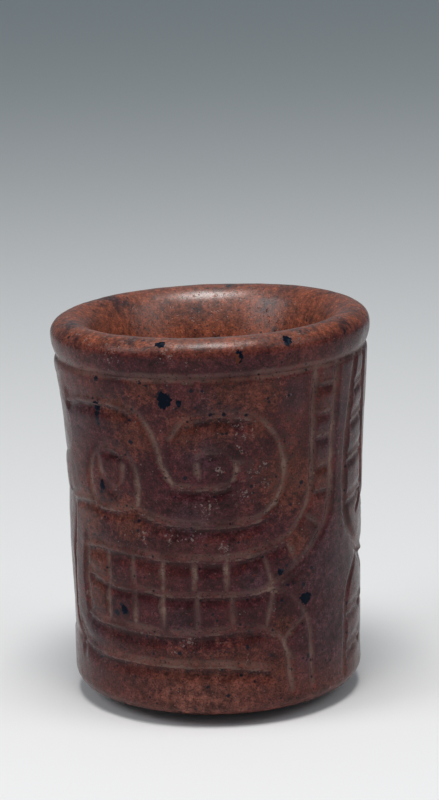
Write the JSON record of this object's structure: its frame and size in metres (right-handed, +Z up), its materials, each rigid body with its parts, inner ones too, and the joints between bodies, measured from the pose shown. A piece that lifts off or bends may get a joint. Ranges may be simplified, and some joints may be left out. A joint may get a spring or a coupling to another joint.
{
  "type": "stone grinding bowl",
  "caption": "Hand-sized upright stone grinding bowl: tapering wall carved with stylised animal heads in profile, rolled rim, deep round hollow and flat resting face.",
  "frame": {"origin": "middle of the flat resting face under the bowl", "axes": "+Z up through the mouth, -Y the carved front with the head's teeth, +X to the right seen from the front"},
  "size_m": [0.1, 0.1, 0.1229],
  "materials": {
    "red_brown_stone": "polished by handling, matt and paler in the carved lines",
    "black_nodule": "blue-black mineral, satin"
  },
  "bodies": {
    "root": {"bowl_body": "red_brown_stone", "nodule_below_rim_large": "black_nodule", "nodule_below_rim_small": "black_nodule", "nodule_brow": "black_nodule", "nodule_nostril": "black_nodule", "nodule_lower_tooth": "black_nodule", "nodule_mouth_corner": "black_nodule", "nodule_upper_tooth": "black_nodule", "nodule_rim_right": "black_nodule", "nodule_rim_left": "black_nodule", "nodule_rim_front": "black_nodule"}
  },
  "joints": []
}
